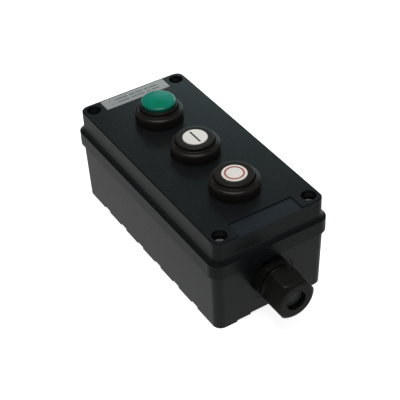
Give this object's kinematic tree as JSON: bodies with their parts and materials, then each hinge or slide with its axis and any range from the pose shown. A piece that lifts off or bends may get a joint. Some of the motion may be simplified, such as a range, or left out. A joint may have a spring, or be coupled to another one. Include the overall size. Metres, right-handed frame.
{
  "type": "pushbutton control station",
  "caption": "Black moulded box with a screwed lid, a green pilot light, a start button, a stop button and a cable gland at one end.",
  "frame": {"origin": "centre of the pattern of mounting holes, on the back face", "axes": "+Z out of the lid, +Y towards the pilot light, -Y towards the cable gland, +X across the box"},
  "size_m": [0.0776, 0.1792, 0.0774],
  "materials": {
    "enclosure": "semi-gloss moulded polyester, near black",
    "label": null,
    "screw_steel": "plated steel",
    "brass": "turned or stamped brass",
    "operator": "smooth black plastic",
    "disc": "off-white plastic",
    "symbol_black": "black inlay",
    "symbol_red": "thin red ring",
    "lens": "green moulded lens",
    "led": "pale light source",
    "rubber": "black elastomer",
    "housing": "dark grey contact block housing",
    "plunger": "ivory plunger",
    "board": "circuit board",
    "gland": "black polyamide",
    "plug": "grey blanking disc"
  },
  "bodies": {
    "station": {"base_box": "enclosure", "lid": "enclosure", "lid_gasket": "rubber", "lid_screws": "screw_steel", "threaded_inserts": "brass", "label_plate": "label", "earth_bar": "brass", "earth_screws": "screw_steel", "earth_bar_screws": "screw_steel", "lamp_bezel": "operator", "lamp_seal": "rubber", "lamp_guide": "operator", "lamp_locknut": "screw_steel", "lamp_lens": "lens", "lamp_block": "housing", "lamp_block_cover": "housing", "lamp_board": "board", "lamp_led": "led", "lamp_terminals": "brass", "lamp_terminal_screws": "screw_steel", "start_bezel": "operator", "start_seal": "rubber", "start_guide": "operator", "start_locknut": "screw_steel", "start_membrane": "rubber", "start_return_spring": "screw_steel", "start_block": "housing", "start_block_cover": "housing", "start_terminals": "brass", "start_terminal_screws": "screw_steel", "stop_bezel": "operator", "stop_seal": "rubber", "stop_guide": "operator", "stop_locknut": "screw_steel", "stop_membrane": "rubber", "stop_return_spring": "screw_steel", "stop_block": "housing", "stop_block_cover": "housing", "stop_terminals": "brass", "stop_terminal_screws": "screw_steel", "gland_body": "gland", "gland_washer": "rubber", "gland_locknut": "gland", "gland_seal": "rubber", "gland_cap_nut": "gland", "gland_plug": "plug"},
    "start_button": {"start_cap": "operator", "start_disc": "disc", "start_bar": "symbol_black", "start_stem": "screw_steel", "start_plunger": "plunger", "start_contact_springs": "screw_steel"},
    "start_contacts": {"start_bridges": "brass"},
    "stop_button": {"stop_cap": "operator", "stop_disc": "disc", "stop_ring": "symbol_red", "stop_stem": "screw_steel", "stop_plunger": "plunger", "stop_contact_springs": "screw_steel"},
    "stop_contacts": {"stop_bridges": "brass"}
  },
  "joints": [
    {"name": "start_press", "type": "slide", "parent": "station", "child": "start_button", "axis": [0, 0, -1], "range_m": [0, 0.0036], "stiffness_N_per_m": 1500, "deforming": ["start_return_spring"]},
    {"name": "start_contact_slip", "type": "slide", "parent": "start_button", "child": "start_contacts", "axis": [0, 0, 1], "range_m": [0, 0.00126], "stiffness_N_per_m": 300, "deforming": ["start_contact_springs"]},
    {"name": "stop_press", "type": "slide", "parent": "station", "child": "stop_button", "axis": [0, 0, -1], "range_m": [0, 0.0036], "stiffness_N_per_m": 1500, "deforming": ["stop_return_spring"]},
    {"name": "stop_contact_slip", "type": "slide", "parent": "stop_button", "child": "stop_contacts", "axis": [0, 0, 1], "range_m": [0, 0.00126], "stiffness_N_per_m": 300, "deforming": ["stop_contact_springs"]}
  ],
  "couplings": [
    {"joint": "start_contact_slip", "follows": "start_press", "ratio": 0.35},
    {"joint": "stop_contact_slip", "follows": "stop_press", "ratio": 0.35}
  ]
}
